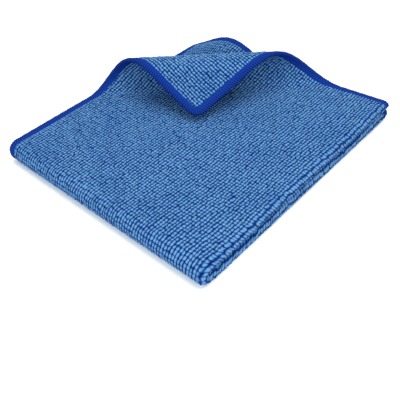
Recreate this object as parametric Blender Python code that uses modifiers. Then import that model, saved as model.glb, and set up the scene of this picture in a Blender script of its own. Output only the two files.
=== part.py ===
"""Microfiber cleaning cloth, folded in quarters, with the corner of its top layer turned back.

One sheet of terry knit with an overlocked edge is laid out flat as a grid and then folded
twice. The long side of the folded cloth runs along X and its short side along Y. It rests
on its underside at Z = 0, and the origin is the middle of that underside. Units are metres.
"""

import math

import bmesh
import bpy
import numpy as np

# The cloth when it lies open
CLOTH_LENGTH = 0.400
CLOTH_WIDTH = 0.350
THICKNESS = 0.0030
HEM_WIDTH = 0.0064
CORNER_RADIUS = 0.0075

# The folded packet
LAYER_PITCH = 0.0041
EDGE_OUTER = 0.1990
EDGE_INNER = 0.2015
BACK_CORNER_SHIFT = -0.0163
SAG = 0.07
RIPPLE = 0.018

# The turned-back corner of the top layer: length of sheet and the angle that it turns through
TURN_DIRECTION = math.radians(41.0)
TURN_BACK = ((0.0585, 227.0), (0.0340, -20.5))

# The free edge of the second layer near that corner, which rises in one wave
WAVE_HEIGHT = 0.0150
WAVE_LENGTH = 0.0905
WAVE_REACH = 0.0400
WAVE_PAST = 0.0070
SECOND_CORNER_SHIFT = -0.0059

# Panel and hem, each as distance from the edge of the cloth and share of the thickness
HEM_PROFILE = ((0.0, 0.45), (0.0011, 1.0), (0.0052, 1.0), (HEM_WIDTH, 0.80), (0.0086, 1.0))

# Middle lines of the two folds, as radii of the sheet's middle surface
FIRST_RADIUS = LAYER_PITCH / 2
SECOND_RADIUS = LAYER_PITCH
OUTER_RADIUS = FIRST_RADIUS + SECOND_RADIUS
HEIGHT = 2 * OUTER_RADIUS + THICKNESS
DEPTH = CLOTH_WIDTH / 2 - FIRST_RADIUS * math.pi / 2 + FIRST_RADIUS + THICKNESS / 2


def clear_scene():
    for item in list(bpy.data.objects):
        bpy.data.objects.remove(item, do_unlink=True)


def material(name, colour, roughness):
    made = bpy.data.materials.new(name)
    made.use_nodes = True
    shader = made.node_tree.nodes["Principled BSDF"]
    shader.inputs["Base Color"].default_value = (*colour, 1.0)
    shader.inputs["Roughness"].default_value = roughness
    shader.inputs["Specular IOR Level"].default_value = 0.15
    made.diffuse_color = (*colour, 1.0)
    return made


def lines(half, fold, inner, coarse, fine, reaches):
    """Grid lines across one direction of the open cloth, closer at the hems, fold and free corner.

    fold is half the width of the folded strip, inner the spacing in it, and reaches how far the
    fine lines extend from the edge on the negative and on the positive side.
    """
    hem = [half - distance for distance, _ in HEM_PROFILE]
    middle = list(np.linspace(0.0, fold, max(1, round(fold / inner)) + 1)[1:])
    sides = []
    for reach in reaches:
        made = list(middle)
        stops = [fold, hem[-1] - reach, hem[-1]]
        for start, end, step in zip(stops, stops[1:], (coarse, fine)):
            if end > start:
                count = max(1, round((end - start) / step))
                made += list(np.linspace(start, end, count + 1)[1:])
        sides.append(made + hem[-2::-1])
    return np.array([-s for s in sides[0][::-1]] + [0.0] + sides[1])


def bent(distance, turns):
    """Where a strip gets to when each length of it turns through its angle: run and rise."""
    run = np.minimum(distance, 0.0)
    rise = np.zeros_like(run)
    rest = np.maximum(distance, 0.0)
    heading = 0.0
    for length, degrees in turns:
        rate = math.radians(degrees) / length
        done = np.minimum(rest, length)
        run = run + (np.sin(heading + rate * done) - math.sin(heading)) / rate
        rise = rise + (math.cos(heading) - np.cos(heading + rate * done)) / rate
        heading += math.radians(degrees)
        rest = rest - done
    return run + rest * math.cos(heading), rise + rest * math.sin(heading)


def turn_corner(x, y, z, chosen):
    """Bends the chosen points about the line that cuts their corner off the packet."""
    across = np.array([math.cos(TURN_DIRECTION), math.sin(TURN_DIRECTION)])
    total = sum(length for length, _ in TURN_BACK)
    distance = (x - EDGE_OUTER) * across[0] + (y - DEPTH) * across[1] + total
    run, rise = bent(distance, TURN_BACK)
    change = np.where(chosen, run - distance, 0.0)
    return x + across[0] * change, y + across[1] * change, z + np.where(chosen, rise, 0.0)


def raise_edge(x, y, z, chosen):
    """Lifts the chosen points in one wave along the free edge and draws their corner in."""
    near_edge = np.clip((x - EDGE_INNER) / WAVE_REACH + 1.0, 0.0, 1.0)
    from_corner = np.clip((DEPTH + WAVE_PAST - y) / WAVE_LENGTH, 0.0, 1.0)
    rise = WAVE_HEIGHT * near_edge**2 * (3.0 - 2.0 * near_edge) * np.sin(math.pi * from_corner) ** 2
    drawn = SECOND_CORNER_SHIFT * (x * y / (EDGE_INNER * DEPTH)) ** 2
    return x, y + np.where(chosen, drawn, 0.0), z + np.where(chosen, rise, 0.0)


def folded(u, v):
    """Middle surface of the folded cloth at the point u, v of the open cloth."""
    quarter = math.pi / 2
    # First fold, about v = 0
    turn = np.clip(v / FIRST_RADIUS, -quarter, quarter)
    straight = np.maximum(np.abs(v) - FIRST_RADIUS * quarter, 0.0)
    y = FIRST_RADIUS + THICKNESS / 2 + straight - FIRST_RADIUS * np.cos(turn)
    offset = FIRST_RADIUS * np.sin(turn)
    # Second fold, about u = 0, with the two layers nested
    radius = SECOND_RADIUS - offset
    turn = np.clip(u / radius, -quarter, quarter)
    straight = np.maximum(np.abs(u) - radius * quarter, 0.0)
    centre = OUTER_RADIUS + THICKNESS / 2
    share = (radius - (SECOND_RADIUS - FIRST_RADIUS)) / LAYER_PITCH
    edge = EDGE_INNER + (EDGE_OUTER - EDGE_INNER) * share
    fit = (edge - centre) / (CLOTH_LENGTH / 2 - radius * quarter)
    x = centre + straight * fit - radius * np.cos(turn)
    z = centre + radius * np.sin(turn)
    # The layers press closer in the middle of the packet, and the top ripples a little
    inside = np.sin(math.pi * np.clip(x / EDGE_OUTER, 0, 1)) * np.sin(math.pi * np.clip(y / DEPTH, 0, 1))
    ripples = np.sin(38.0 * x + 11.0 * y + 0.6) * np.sin(27.0 * y - 9.0 * x + 1.1)
    z = THICKNESS / 2 + (z - THICKNESS / 2) * (1.0 - SAG * inside + RIPPLE * ripples)
    # Turned corner of the top layer and raised edge of the second
    x, y, z = turn_corner(x, y, z, (u > 0) & (v < 0))
    x, y, z = raise_edge(x, y, z, (u > 0) & (v > 0))
    # The packet isn't quite square, and its free corner is drawn in
    x = x + BACK_CORNER_SHIFT * x * y / (EDGE_OUTER * DEPTH)
    return np.stack([x, y, z], axis=-1)


def round_corners(u, v):
    """Draws the points of each square corner in, so that the cut is rounded there."""
    a = np.abs(u) - (CLOTH_LENGTH / 2 - CORNER_RADIUS)
    b = np.abs(v) - (CLOTH_WIDTH / 2 - CORNER_RADIUS)
    corner = (a > 0) & (b > 0)
    draw = np.where(corner, np.maximum(a, b) / np.maximum(np.hypot(a, b), 1e-9), 1.0)
    u = np.where(corner, np.sign(u) * (CLOTH_LENGTH / 2 - CORNER_RADIUS + a * draw), u)
    v = np.where(corner, np.sign(v) * (CLOTH_WIDTH / 2 - CORNER_RADIUS + b * draw), v)
    return u, v


def sheet():
    """The closed body of the cloth: a grid folded into place and thickened to both sides."""
    along = lines(CLOTH_LENGTH / 2, 0.014, 0.0023, 0.020, 0.0066, (0.0, 0.116))
    across = lines(CLOTH_WIDTH / 2, 0.004, 0.00115, 0.018, 0.0072, (0.150, 0.100))
    mesh = bmesh.new()
    bmesh.ops.create_grid(mesh, x_segments=len(along) - 1, y_segments=len(across) - 1, size=1.0)
    mesh.verts.ensure_lookup_table()
    unit = np.array([vert.co[:2] for vert in mesh.verts])
    column = np.rint((unit[:, 0] + 1) / 2 * (len(along) - 1)).astype(int)
    row = np.rint((unit[:, 1] + 1) / 2 * (len(across) - 1)).astype(int)
    u = along[column]
    v = across[row]
    places = folded(*round_corners(u, v))
    from_edge = np.minimum(CLOTH_LENGTH / 2 - np.abs(u), CLOTH_WIDTH / 2 - np.abs(v))
    shares = np.interp(from_edge, [p[0] for p in HEM_PROFILE], [p[1] for p in HEM_PROFILE])
    for vert, place in zip(mesh.verts, places):
        vert.co = place
    for face in mesh.faces:
        face.smooth = True
        centre = np.mean([from_edge[vert.index] for vert in face.verts])
        face.material_index = 1 if centre < HEM_WIDTH else 0
    data = bpy.data.meshes.new("cloth")
    mesh.to_mesh(data)
    mesh.free()
    made = bpy.data.objects.new("cloth", data)
    made.data.materials.append(material("blue_terry_knit", (0.075, 0.19, 0.46), 0.95))
    made.data.materials.append(material("royal_blue_overlock_thread", (0.014, 0.045, 0.34), 0.8))
    group = made.vertex_groups.new(name="thickness")
    for index, share in enumerate(shares):
        group.add([index], float(share), "REPLACE")
    solid = made.modifiers.new("thickness", "SOLIDIFY")
    solid.thickness = THICKNESS
    solid.offset = 0.0
    solid.vertex_group = "thickness"
    solid.use_even_offset = False
    return made


def build():
    clear_scene()
    collection = bpy.data.collections.new("microfiber_cloth")
    bpy.context.scene.collection.children.link(collection)
    cloth = sheet()
    collection.objects.link(cloth)
    cloth.location = (-EDGE_OUTER / 2, -DEPTH / 2, 0.0)


build()
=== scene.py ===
"""A microfiber cloth folded in quarters, with the corner of its top layer turned back."""

import math

import bpy
import numpy as np
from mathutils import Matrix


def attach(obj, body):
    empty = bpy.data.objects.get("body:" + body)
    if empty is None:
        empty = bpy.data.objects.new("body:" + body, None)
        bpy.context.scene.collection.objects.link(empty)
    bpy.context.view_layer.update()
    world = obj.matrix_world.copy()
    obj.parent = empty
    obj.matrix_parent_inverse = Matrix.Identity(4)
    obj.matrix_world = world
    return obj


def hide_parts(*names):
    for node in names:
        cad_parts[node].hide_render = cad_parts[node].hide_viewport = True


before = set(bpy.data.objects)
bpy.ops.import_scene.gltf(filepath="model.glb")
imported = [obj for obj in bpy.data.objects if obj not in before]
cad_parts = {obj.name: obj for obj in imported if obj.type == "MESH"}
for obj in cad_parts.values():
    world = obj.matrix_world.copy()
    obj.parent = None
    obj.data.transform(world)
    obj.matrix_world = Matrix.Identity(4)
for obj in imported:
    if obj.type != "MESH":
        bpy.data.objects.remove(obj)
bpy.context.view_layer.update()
bpy.ops.object.select_all(action="DESELECT")

# Camera
# It looks down at the cloth from over its front corner, about 0.4 m away.
bpy.ops.object.camera_add(location=(-0.2268, -0.2144, 0.2397))
camera = bpy.context.object
camera.name = "camera"
camera.data.lens = 50.0
camera.data.sensor_width = 36.0
camera.data.clip_start = 0.01
camera.rotation_euler = (math.radians(46.26), math.radians(2.73), math.radians(-48.35))
bpy.context.scene.camera = camera
bpy.context.scene.view_settings.view_transform = "Standard"
bpy.ops.object.select_all(action="DESELECT")

# Cloth
# One sheet of terry knit in polyester and polyamide microfiber, 350 by 400 mm, folded in half
# along its length and again across it. The free corner of the top layer is turned back in a
# round roll and the free edge of the layer below rises in a wave.
CLOTH_LENGTH = 0.400
CLOTH_WIDTH = 0.350
CORNER_RADIUS = 0.0075
HEM_WIDTH = 0.0060
# The knit alone, the knit with its loops, and the step from one layer to the next
KNIT_THICKNESS = 0.0027
PILE_THICKNESS = 0.0030
LAYER_PITCH = 0.0041
# Loops of the pile, about 2.3 by 2.2 mm apart
LOOPS_ALONG = 172
LOOPS_ACROSS = 160
LOOP_HEIGHT = 0.0007
# Where the free edges of the two outer and of the two inner layers lie
EDGE_OUTER = 0.1990
EDGE_INNER = 0.2015
# The packet is drawn in at its back corner, sags inside its folds and ripples a little
BACK_CORNER_SHIFT = -0.0163
SAG = 0.07
RIPPLE = 0.018
RIPPLE_WAVES = ((38.0, 11.0, 0.6), (-9.0, 27.0, 1.1))
# The corner is turned back over these lengths, and each turns it through its degrees
TURN_DIRECTION = math.radians(41.0)
TURN_BACK = ((0.0585, 227.0), (0.0340, -20.5))
# The wave in the free edge of the second layer, whose corner is drawn in
WAVE_HEIGHT = 0.0150
WAVE_LENGTH = 0.0905
WAVE_REACH = 0.0400
WAVE_PAST = 0.0070
SECOND_CORNER_SHIFT = -0.0059
# Each fold bends round the layers inside it
FIRST_RADIUS = LAYER_PITCH / 2
SECOND_RADIUS = LAYER_PITCH
OUTER_RADIUS = FIRST_RADIUS + SECOND_RADIUS
DEPTH = CLOTH_WIDTH / 2 - FIRST_RADIUS * math.pi / 2 + FIRST_RADIUS + PILE_THICKNESS / 2


def bent(distance, turns):
    """Run and rise of a strip whose lengths each turn through their angle."""
    run = np.minimum(distance, 0.0)
    rise = np.zeros_like(run)
    rest = np.maximum(distance, 0.0)
    heading = 0.0
    for length, degrees in turns:
        rate = math.radians(degrees) / length
        done = np.minimum(rest, length)
        run = run + (np.sin(heading + rate * done) - math.sin(heading)) / rate
        rise = rise + (math.cos(heading) - np.cos(heading + rate * done)) / rate
        heading += math.radians(degrees)
        rest = rest - done
    return run + rest * math.cos(heading), rise + rest * math.sin(heading)


def turn_corner(x, y, z, chosen):
    """Bends the chosen points about the line that cuts their corner off."""
    across = (math.cos(TURN_DIRECTION), math.sin(TURN_DIRECTION))
    total = sum(length for length, _ in TURN_BACK)
    distance = (x - EDGE_OUTER) * across[0] + (y - DEPTH) * across[1] + total
    run, rise = bent(distance, TURN_BACK)
    change = np.where(chosen, run - distance, 0.0)
    return x + across[0] * change, y + across[1] * change, z + np.where(chosen, rise, 0.0)


def raise_edge(x, y, z, chosen):
    """Lifts the chosen points in one wave along the free edge and draws their corner in."""
    near_edge = np.clip((x - EDGE_INNER) / WAVE_REACH + 1.0, 0.0, 1.0)
    from_corner = np.clip((DEPTH + WAVE_PAST - y) / WAVE_LENGTH, 0.0, 1.0)
    rise = WAVE_HEIGHT * near_edge**2 * (3.0 - 2.0 * near_edge) * np.sin(math.pi * from_corner) ** 2
    drawn = SECOND_CORNER_SHIFT * (x * y / (EDGE_INNER * DEPTH)) ** 2
    return x, y + np.where(chosen, drawn, 0.0), z + np.where(chosen, rise, 0.0)


def folded(u, v):
    """Middle surface of the folded cloth at the point u, v of the open cloth."""
    quarter = math.pi / 2
    turn = np.clip(v / FIRST_RADIUS, -quarter, quarter)
    straight = np.maximum(np.abs(v) - FIRST_RADIUS * quarter, 0.0)
    y = FIRST_RADIUS + PILE_THICKNESS / 2 + straight - FIRST_RADIUS * np.cos(turn)
    radius = SECOND_RADIUS - FIRST_RADIUS * np.sin(turn)
    turn = np.clip(u / radius, -quarter, quarter)
    straight = np.maximum(np.abs(u) - radius * quarter, 0.0)
    centre = OUTER_RADIUS + PILE_THICKNESS / 2
    share = (radius - (SECOND_RADIUS - FIRST_RADIUS)) / LAYER_PITCH
    edge = EDGE_INNER + (EDGE_OUTER - EDGE_INNER) * share
    fit = (edge - centre) / (CLOTH_LENGTH / 2 - radius * quarter)
    x = centre + straight * fit - radius * np.cos(turn)
    z = centre + radius * np.sin(turn)
    inside = np.sin(math.pi * np.clip(x / EDGE_OUTER, 0, 1))
    inside = inside * np.sin(math.pi * np.clip(y / DEPTH, 0, 1))
    ripples = np.prod([np.sin(a * x + b * y + c) for a, b, c in RIPPLE_WAVES], axis=0)
    lowest = PILE_THICKNESS / 2
    z = lowest + (z - lowest) * (1.0 - SAG * inside + RIPPLE * ripples)
    x, y, z = turn_corner(x, y, z, (u > 0) & (v < 0))
    x, y, z = raise_edge(x, y, z, (u > 0) & (v > 0))
    x = x + BACK_CORNER_SHIFT * x * y / (EDGE_OUTER * DEPTH)
    return np.stack([x - EDGE_OUTER / 2, y - DEPTH / 2, z], axis=-1)


def round_corners(u, v):
    """Draws the points of each square corner in, so that the cut is rounded there."""
    half_u, half_v = CLOTH_LENGTH / 2 - CORNER_RADIUS, CLOTH_WIDTH / 2 - CORNER_RADIUS
    past_u, past_v = np.abs(u) - half_u, np.abs(v) - half_v
    corner = (past_u > 0) & (past_v > 0)
    draw = np.maximum(past_u, past_v) / np.maximum(np.hypot(past_u, past_v), 1e-9)
    u = np.where(corner, np.sign(u) * (half_u + past_u * draw), u)
    v = np.where(corner, np.sign(v) * (half_v + past_v * draw), v)
    return u, v


def from_edge(u, v):
    """How far the points of the open cloth lie inside its cut edge."""
    return np.minimum(CLOTH_LENGTH / 2 - np.abs(u), CLOTH_WIDTH / 2 - np.abs(v))


def grid_piece(name, along, across):
    """A flat grid with a vertex at each pair of the given lines, and those pairs."""
    columns, rows = len(along) - 1, len(across) - 1
    bpy.ops.mesh.primitive_grid_add(x_subdivisions=columns, y_subdivisions=rows, size=2)
    piece = bpy.context.object
    piece.name = name
    flat = np.zeros(len(piece.data.vertices) * 3)
    piece.data.vertices.foreach_get("co", flat)
    flat = flat.reshape(-1, 3)
    column = np.rint((flat[:, 0] + 1) / 2 * columns).astype(int)
    row = np.rint((flat[:, 1] + 1) / 2 * rows).astype(int)
    return piece, along[column], across[row]


def lay_uv(piece, u, v):
    """Gives the piece a UV map that holds its place on the open cloth, in metres."""
    corners = np.zeros(len(piece.data.loops), int)
    piece.data.loops.foreach_get("vertex_index", corners)
    places = np.stack([u, v], axis=-1)[corners]
    piece.data.uv_layers.active.data.foreach_set("uv", places.ravel())


# The rows are twice as close where the cloth bends round the tight first fold
CLOSE_ROWS = 0.0045
chance = np.random.default_rng(7)
along = np.linspace(-CLOTH_LENGTH / 2, CLOTH_LENGTH / 2, LOOPS_ALONG + 1)
across = np.linspace(-CLOTH_WIDTH / 2, CLOTH_WIDTH / 2, LOOPS_ACROSS + 1)
halfway = (across[1:] + across[:-1]) / 2
across = np.sort(np.concatenate([across, halfway[np.abs(halfway) < CLOSE_ROWS]]))
cloth, u, v = grid_piece("microfiber_cloth", along, across)
lay_uv(cloth, u, v)

# The rows of loops wander slowly and each loop strays from them, but the cut edge is straight
CUT_EDGE = 0.001
WANDER = 0.0006
WANDER_WAVES = ((61.0, 43.0), (57.0, 39.0))
WANDER_BEND = 2.0
LOOP_STRAY = 0.00016
wander = [
    np.sin(waves * first + WANDER_BEND * np.sin(cross_waves * second))
    for (waves, cross_waves), first, second in zip(WANDER_WAVES, (v, u), (u, v))
]
strays = chance.normal(0.0, LOOP_STRAY, (len(u), 2))
free = from_edge(u, v) > CUT_EDGE
shift = free[:, None] * (WANDER * np.stack(wander, axis=-1) + strays)
round_u, round_v = round_corners(u + shift[:, 0], v + shift[:, 1])

# The knit ends half a millimetre inside the thread that is sewn over it, which presses it thin
DRAWN_IN = 0.9975
PRESSED = 0.7
cloth.data.vertices.foreach_set("co", folded(round_u * DRAWN_IN, round_v * DRAWN_IN).ravel())
group = cloth.vertex_groups.new(name="thickness")
under_hem = from_edge(u, v) < HEM_WIDTH
for points, share in ((~under_hem, 1.0), (under_hem, PRESSED)):
    group.add(np.nonzero(points)[0].tolist(), share, "REPLACE")
solid = cloth.modifiers.new("thickness", "SOLIDIFY")
solid.thickness = KNIT_THICKNESS
solid.offset = 0.0
solid.vertex_group = "thickness"
bpy.ops.object.modifier_apply(modifier="thickness")

# Each loop of the pile is a small mound. It is raised on the outer face, and on the inner face
# near the two free corners, where that face shows.
CORNER_FROM_U = 0.060
CORNER_FROM_V = 0.020
CROWN_STRAY = 0.00014
faces = (len(along) - 1) * (len(across) - 1)
data = cloth.data
places = np.zeros(len(data.loops) * 2)
data.uv_layers.active.data.foreach_get("uv", places)
starts = np.zeros(len(data.polygons), int)
data.polygons.foreach_get("loop_start", starts)
face_u, face_v = places.reshape(-1, 2)[starts].T
number = np.arange(len(data.polygons))
near_corner = (face_u > CORNER_FROM_U) & (np.abs(face_v) > CORNER_FROM_V)
shows = (number < 2 * faces) & ((number >= faces) | near_corner)
before = len(data.vertices)
bpy.ops.object.mode_set(mode="EDIT")
bpy.ops.mesh.select_mode(type="FACE")
bpy.ops.object.mode_set(mode="OBJECT")
data.polygons.foreach_set("select", shows & (from_edge(face_u, face_v) > HEM_WIDTH))
bpy.ops.object.mode_set(mode="EDIT")
bpy.ops.mesh.poke(offset=LOOP_HEIGHT, center_mode="MEDIAN")
bpy.ops.object.mode_set(mode="OBJECT")
spots = np.zeros(len(data.vertices) * 3)
data.vertices.foreach_get("co", spots)
spots = spots.reshape(-1, 3)
spots[before:] += chance.normal(0.0, CROWN_STRAY, (len(spots) - before, 3))
spots[:, 2] = np.maximum(spots[:, 2], 0.0)
data.vertices.foreach_set("co", spots.ravel())
data.update()
bpy.ops.object.shade_smooth()


def linear(code):
    """An sRGB hex colour as linear red, green, blue and alpha."""
    parts = [int(code[i : i + 2], 16) / 255 for i in (0, 2, 4)]
    return (*[p / 12.92 if p <= 0.04045 else ((p + 0.055) / 1.055) ** 2.4 for p in parts], 1.0)


def new_material(name, settings):
    """A material whose shader has the given settings."""
    material = bpy.data.materials.new(name)
    material.use_nodes = True
    for key, value in settings.items():
        material.node_tree.nodes["Principled BSDF"].inputs[key].default_value = value
    return material


def add_node(tree, kind, inputs=(), **settings):
    """Adds a node. Each input gets a value, a socket, or the first output of another node."""
    made = tree.nodes.new("ShaderNode" + kind)
    for name, value in settings.items():
        setattr(made, name, value)
    for name, value in dict(inputs).items():
        if isinstance(value, bpy.types.Node):
            value = value.outputs[0]
        if isinstance(value, bpy.types.NodeSocket):
            tree.links.new(value, made.inputs[name])
        else:
            made.inputs[name].default_value = value
    return made


# Terry knit: dyed microfiber yarn in low loops, matt and a little fuzzy. Its colour is painted dark
# in the gaps between the rows of loops as shade, and light on the crowns of the loops as a
# highlight.
# Ramp stops: painted shade in the gaps, mid blue on the sides of the loops, painted highlight on
# the crowns
SHADED_GAPS_TO_LIT_CROWNS = ((0.05, "00164E"), (0.42, "1D508E"), (0.95, "5884AE"))
terry = new_material(
    "terry_knit_microfiber",
    {
        "Roughness": 0.95,
        "Specular IOR Level": 0.06,
        "Sheen Weight": 0.06,
        "Sheen Roughness": 0.6,
        "Sheen Tint": linear("9DC4F0"),
    },
)
tree = terry.node_tree
uv_place = add_node(tree, "TexCoord").outputs["UV"]

# The place on the cloth is counted in loops, and the slack of the yarn, which changes over
# about 4 mm, moves the pattern to either side by up to 0.3 of a loop
SLACK = 0.6
loops = (LOOPS_ALONG / CLOTH_LENGTH, LOOPS_ACROSS / CLOTH_WIDTH, 0.0)
counted = add_node(tree, "VectorMath", {0: uv_place, 1: loops}, operation="MULTIPLY")
slack = add_node(tree, "TexNoise", {"Vector": uv_place, "Scale": 260.0, "Detail": 1.0})
strayed = add_node(
    tree,
    "VectorMath",
    {0: slack.outputs["Color"], 1: (SLACK, SLACK, 0.0), 2: counted},
    operation="MULTIPLY_ADD",
)
centred = add_node(
    tree, "VectorMath", {0: strayed, 1: (-SLACK / 2, -SLACK / 2, 0.0)}, operation="ADD"
)

# Each cell is brought over the crown of a loop, and each crown has its own shade
TO_CROWN = -0.35
crowns = add_node(tree, "VectorMath", {0: centred, 1: (TO_CROWN, TO_CROWN, 0.0)}, operation="ADD")
cells = add_node(
    tree,
    "TexVoronoi",
    {"Vector": crowns, "Scale": 1.0, "Randomness": 0.30},
    voronoi_dimensions="2D",
)
mound = add_node(
    tree,
    "MapRange",
    {"Value": cells.outputs["Distance"], "From Min": 0.69, "From Max": 0.23},
    interpolation_type="SMOOTHSTEP",
)
own = add_node(tree, "SeparateColor", {0: cells.outputs["Color"]})
level = add_node(tree, "MapRange", {"Value": own, "To Min": 0.84, "To Max": 1.10})

# The gaps between the rows that run along the cloth are the deepest, and the colour is painted
# darkest there as shade
half_turn = (math.pi, math.pi, 0.0)
phases = add_node(tree, "VectorMath", {0: centred, 1: half_turn}, operation="MULTIPLY")
wave = add_node(tree, "VectorMath", {0: phases}, operation="SINE")
crest = add_node(tree, "VectorMath", {0: wave}, operation="ABSOLUTE")
across_rows = add_node(tree, "SeparateXYZ", {0: crest}).outputs[1]
row = add_node(
    tree, "MapRange", {"Value": across_rows, "From Min": 0.08, "From Max": 0.78, "To Min": 0.20}
)
raised = add_node(tree, "Math", {0: mound, 1: row}, operation="MULTIPLY")

# The pile lies a little differently in patches about 30 mm wide
cover = add_node(tree, "TexNoise", {"Vector": uv_place, "Scale": 34.0, "Detail": 2.0})
patch = add_node(
    tree,
    "MapRange",
    {"Value": cover, "From Min": 0.3, "From Max": 0.7, "To Min": 0.88, "To Max": 1.10},
)
worn = add_node(tree, "Math", {0: level, 1: patch}, operation="MULTIPLY")
tone = add_node(tree, "Math", {0: raised, 1: worn}, operation="MULTIPLY")
# The height of each loop picks its colour from the ramp, so the shade in the gaps and the highlight
# on the crowns are painted
shades = add_node(tree, "ValToRGB", {0: tone})
shades.color_ramp.elements.new(SHADED_GAPS_TO_LIT_CROWNS[1][0])
for stop, (position, code) in zip(shades.color_ramp.elements, SHADED_GAPS_TO_LIT_CROWNS):
    stop.position = position
    stop.color = linear(code)

# Fibres about 0.4 mm apart roughen the loops
FIBRE_SHARE = 0.35
fibre = add_node(tree, "TexNoise", {"Vector": uv_place, "Scale": 2600.0, "Detail": 2.0})
relief = add_node(tree, "Math", {0: fibre, 1: FIBRE_SHARE, 2: raised}, operation="MULTIPLY_ADD")
bump = add_node(tree, "Bump", {"Height": relief, "Strength": 0.9, "Distance": 0.0008})
shader = tree.nodes["Principled BSDF"]
tree.links.new(shades.outputs[0], shader.inputs["Base Color"])
tree.links.new(bump.outputs[0], shader.inputs["Normal"])
cloth.data.materials.append(terry)
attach(cloth, "root")
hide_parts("cloth")
bpy.ops.object.select_all(action="DESELECT")

# Overlocked edge
# Bright blue polyester thread is sewn over the cut edge all round in close stitches, a band
# 6 mm wide on both faces that holds the knit together.
STITCH = 0.0017
STEPS_PER_STITCH = 3
BAND_HEIGHT = 0.00145
# Half the section of the band, from its inner side out to the rim: how far it is inside the
# edge, and its height as a share of the band's
HALF_SECTION = (
    (0.0061, 0.60),
    (0.0056, 0.86),
    (0.0047, 0.98),
    (0.0034, 1.00),
    (0.0020, 1.00),
    (0.0008, 0.90),
    (0.0001, 0.60),
)
RIM = (-0.0001, 0.0)
# The ridges of the stitches lean, which takes so many of them to each metre inwards, and the
# band swells a little along its length
RIDGE = 0.00016
LEAN = 160.0
SWELL = 0.00006
SWELL_WAVES = 900.0
SIDE_RIDGES = 0.7
HALF_U = CLOTH_LENGTH / 2 - CORNER_RADIUS
HALF_V = CLOTH_WIDTH / 2 - CORNER_RADIUS
ARC = CORNER_RADIUS * math.pi / 2
ROUND = 4 * (HALF_U + HALF_V + ARC)
# The straight sides in turn: the corner each starts from, its direction and its length
SIDES = (
    (1, -1, 0, 1, 2 * HALF_V),
    (1, 1, -1, 0, 2 * HALF_U),
    (-1, 1, 0, -1, 2 * HALF_V),
    (-1, -1, 1, 0, 2 * HALF_U),
)


def edge_path(s, inset):
    """Point of the open cloth at length s round its edge and that far inside it."""
    s = np.mod(s, ROUND)
    u, v = np.zeros_like(s), np.zeros_like(s)
    reach = CORNER_RADIUS - inset
    start = 0.0
    for corner_u, corner_v, step_u, step_v, length in SIDES:
        here = (s >= start) & (s < start + length)
        out_u, out_v = step_v, -step_u
        u = np.where(here, corner_u * HALF_U + step_u * (s - start) + out_u * reach, u)
        v = np.where(here, corner_v * HALF_V + step_v * (s - start) + out_v * reach, v)
        start += length
        here = (s >= start) & (s < start + ARC)
        angle = (s - start) / CORNER_RADIUS
        end_u, end_v = corner_u * HALF_U + step_u * length, corner_v * HALF_V + step_v * length
        u = np.where(here, end_u + reach * (out_u * np.cos(angle) + step_u * np.sin(angle)), u)
        v = np.where(here, end_v + reach * (out_v * np.cos(angle) + step_v * np.sin(angle)), v)
        start += ARC
    return u, v


stitches = round(ROUND / STITCH)
lower = [(inset, -height) for inset, height in HALF_SECTION]
section_inset, section_height = np.array([*lower, RIM, *HALF_SECTION[::-1]]).T
around = np.linspace(0.0, ROUND, stitches * STEPS_PER_STITCH + 1)
band, s, point = grid_piece("overlocked_edge", around, np.arange(len(section_inset)))
inset, share = section_inset[point], section_height[point]
ridges = np.cos(2 * math.pi * (s / ROUND * stitches + inset * LEAN))
thread = RIDGE * ridges + SWELL * np.sin(s * SWELL_WAVES)
height = share * BAND_HEIGHT + np.sign(share) * thread
inset = inset - np.where(np.abs(share) < SIDE_RIDGES, thread, 0.0)
edge_u, edge_v = edge_path(s, inset)
small = 1e-5
step_u = folded(edge_u + small, edge_v) - folded(edge_u - small, edge_v)
step_v = folded(edge_u, edge_v + small) - folded(edge_u, edge_v - small)
outward = np.cross(step_u, step_v)
outward /= np.linalg.norm(outward, axis=1)[:, None]
places = folded(edge_u, edge_v) + outward * height[:, None]
places[:, 2] = np.maximum(places[:, 2], 0.0)
band.data.vertices.foreach_set("co", places.ravel())
lay_uv(band, s, inset)
bpy.ops.object.mode_set(mode="EDIT")
bpy.ops.mesh.select_all(action="SELECT")
bpy.ops.mesh.remove_doubles(threshold=0.00002)
bpy.ops.mesh.normals_make_consistent(inside=False)
bpy.ops.object.mode_set(mode="OBJECT")
bpy.ops.object.shade_smooth()
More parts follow.
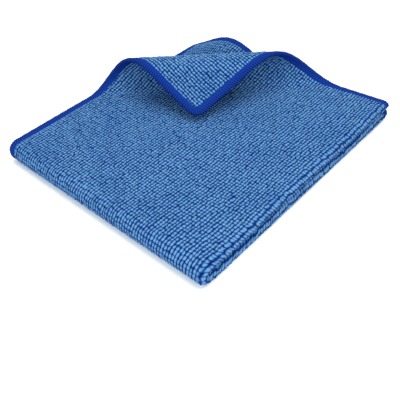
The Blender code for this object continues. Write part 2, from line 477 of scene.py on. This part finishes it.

# Polyester overlock thread: textured yarn, matt, in strands that cross the edge. The gaps between
# the strands are painted dark as shade at the rim, and that painted shade fades 2.4 to 3.4 mm
# inside it.
thread_look = new_material(
    "polyester_overlock_thread", {"Roughness": 0.8, "Specular IOR Level": 0.06}
)
tree = thread_look.node_tree
uv_place = add_node(tree, "TexCoord").outputs["UV"]
split = add_node(tree, "SeparateXYZ", {0: uv_place})
lean = add_node(
    tree,
    "Math",
    {0: split.outputs[1], 1: LEAN * ROUND / stitches, 2: split.outputs[0]},
    operation="MULTIPLY_ADD",
)
full_turns = 2 * math.pi * stitches / ROUND
turns = add_node(tree, "Math", {0: lean, 1: full_turns}, operation="MULTIPLY")
strands = add_node(tree, "Math", {0: turns}, operation="COSINE")
level = add_node(tree, "MapRange", {"Value": strands, "From Min": -1.0, "From Max": 0.6})
smooth = add_node(
    tree,
    "MapRange",
    {"Value": split.outputs[1], "From Min": 0.0024, "From Max": 0.0034, "To Max": 0.5},
)
shown = add_node(tree, "Math", {0: level, 1: smooth}, operation="MAXIMUM")
# Ramp: painted shade in the gaps between the strands, the thread's own blue on the strands
shades = add_node(tree, "ValToRGB", {0: shown})
for stop, code in zip(shades.color_ramp.elements, ("020A40", "0A3284")):
    stop.color = linear(code)
bump = add_node(tree, "Bump", {"Height": level, "Strength": 0.5, "Distance": 0.0003})
shader = tree.nodes["Principled BSDF"]
tree.links.new(shades.outputs[0], shader.inputs["Base Color"])
tree.links.new(bump.outputs[0], shader.inputs["Normal"])
band.data.materials.append(thread_look)
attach(band, "root")
bpy.ops.object.select_all(action="DESELECT")

# Floor and light
# A plain white floor under a bright even sky, with one wide soft lamp overhead and a weak one
# in front.
bpy.ops.mesh.primitive_plane_add(size=6.0)
floor = bpy.context.object
floor.name = "floor"

# Matt white paint: it gives the light back evenly, with no shine
paint = new_material(
    "matt_white_paint",
    {"Base Color": linear("F4F4F4"), "Roughness": 1.0, "Specular IOR Level": 0.0},
)
floor.data.materials.append(paint)
sky = bpy.data.worlds.new("sky")
sky.use_nodes = True
sky.node_tree.nodes["Background"].inputs["Color"].default_value = (0.92, 0.97, 1.0, 1.0)
sky.node_tree.nodes["Background"].inputs["Strength"].default_value = 0.95
bpy.context.scene.world = sky

# Each lamp's place, width, power in watts and colour
LAMPS = (
    ("soft_lamp", (0.10, -0.14, 0.95), 0.8, 8.6, (1.0, 0.97, 0.93)),
    ("soft_fill", (-0.50, -0.42, 0.34), 0.6, 3.0, (0.86, 0.94, 1.0)),
)
for name, place, width, power, colour in LAMPS:
    bpy.ops.object.light_add(type="AREA", location=place)
    lamp = bpy.context.object
    lamp.name = name
    lamp.data.shape = "DISK"
    lamp.data.size = width
    lamp.data.energy = power
    lamp.data.color = colour
    lamp.rotation_euler = (-lamp.location).to_track_quat("-Z", "Y").to_euler()
bpy.ops.object.select_all(action="DESELECT")
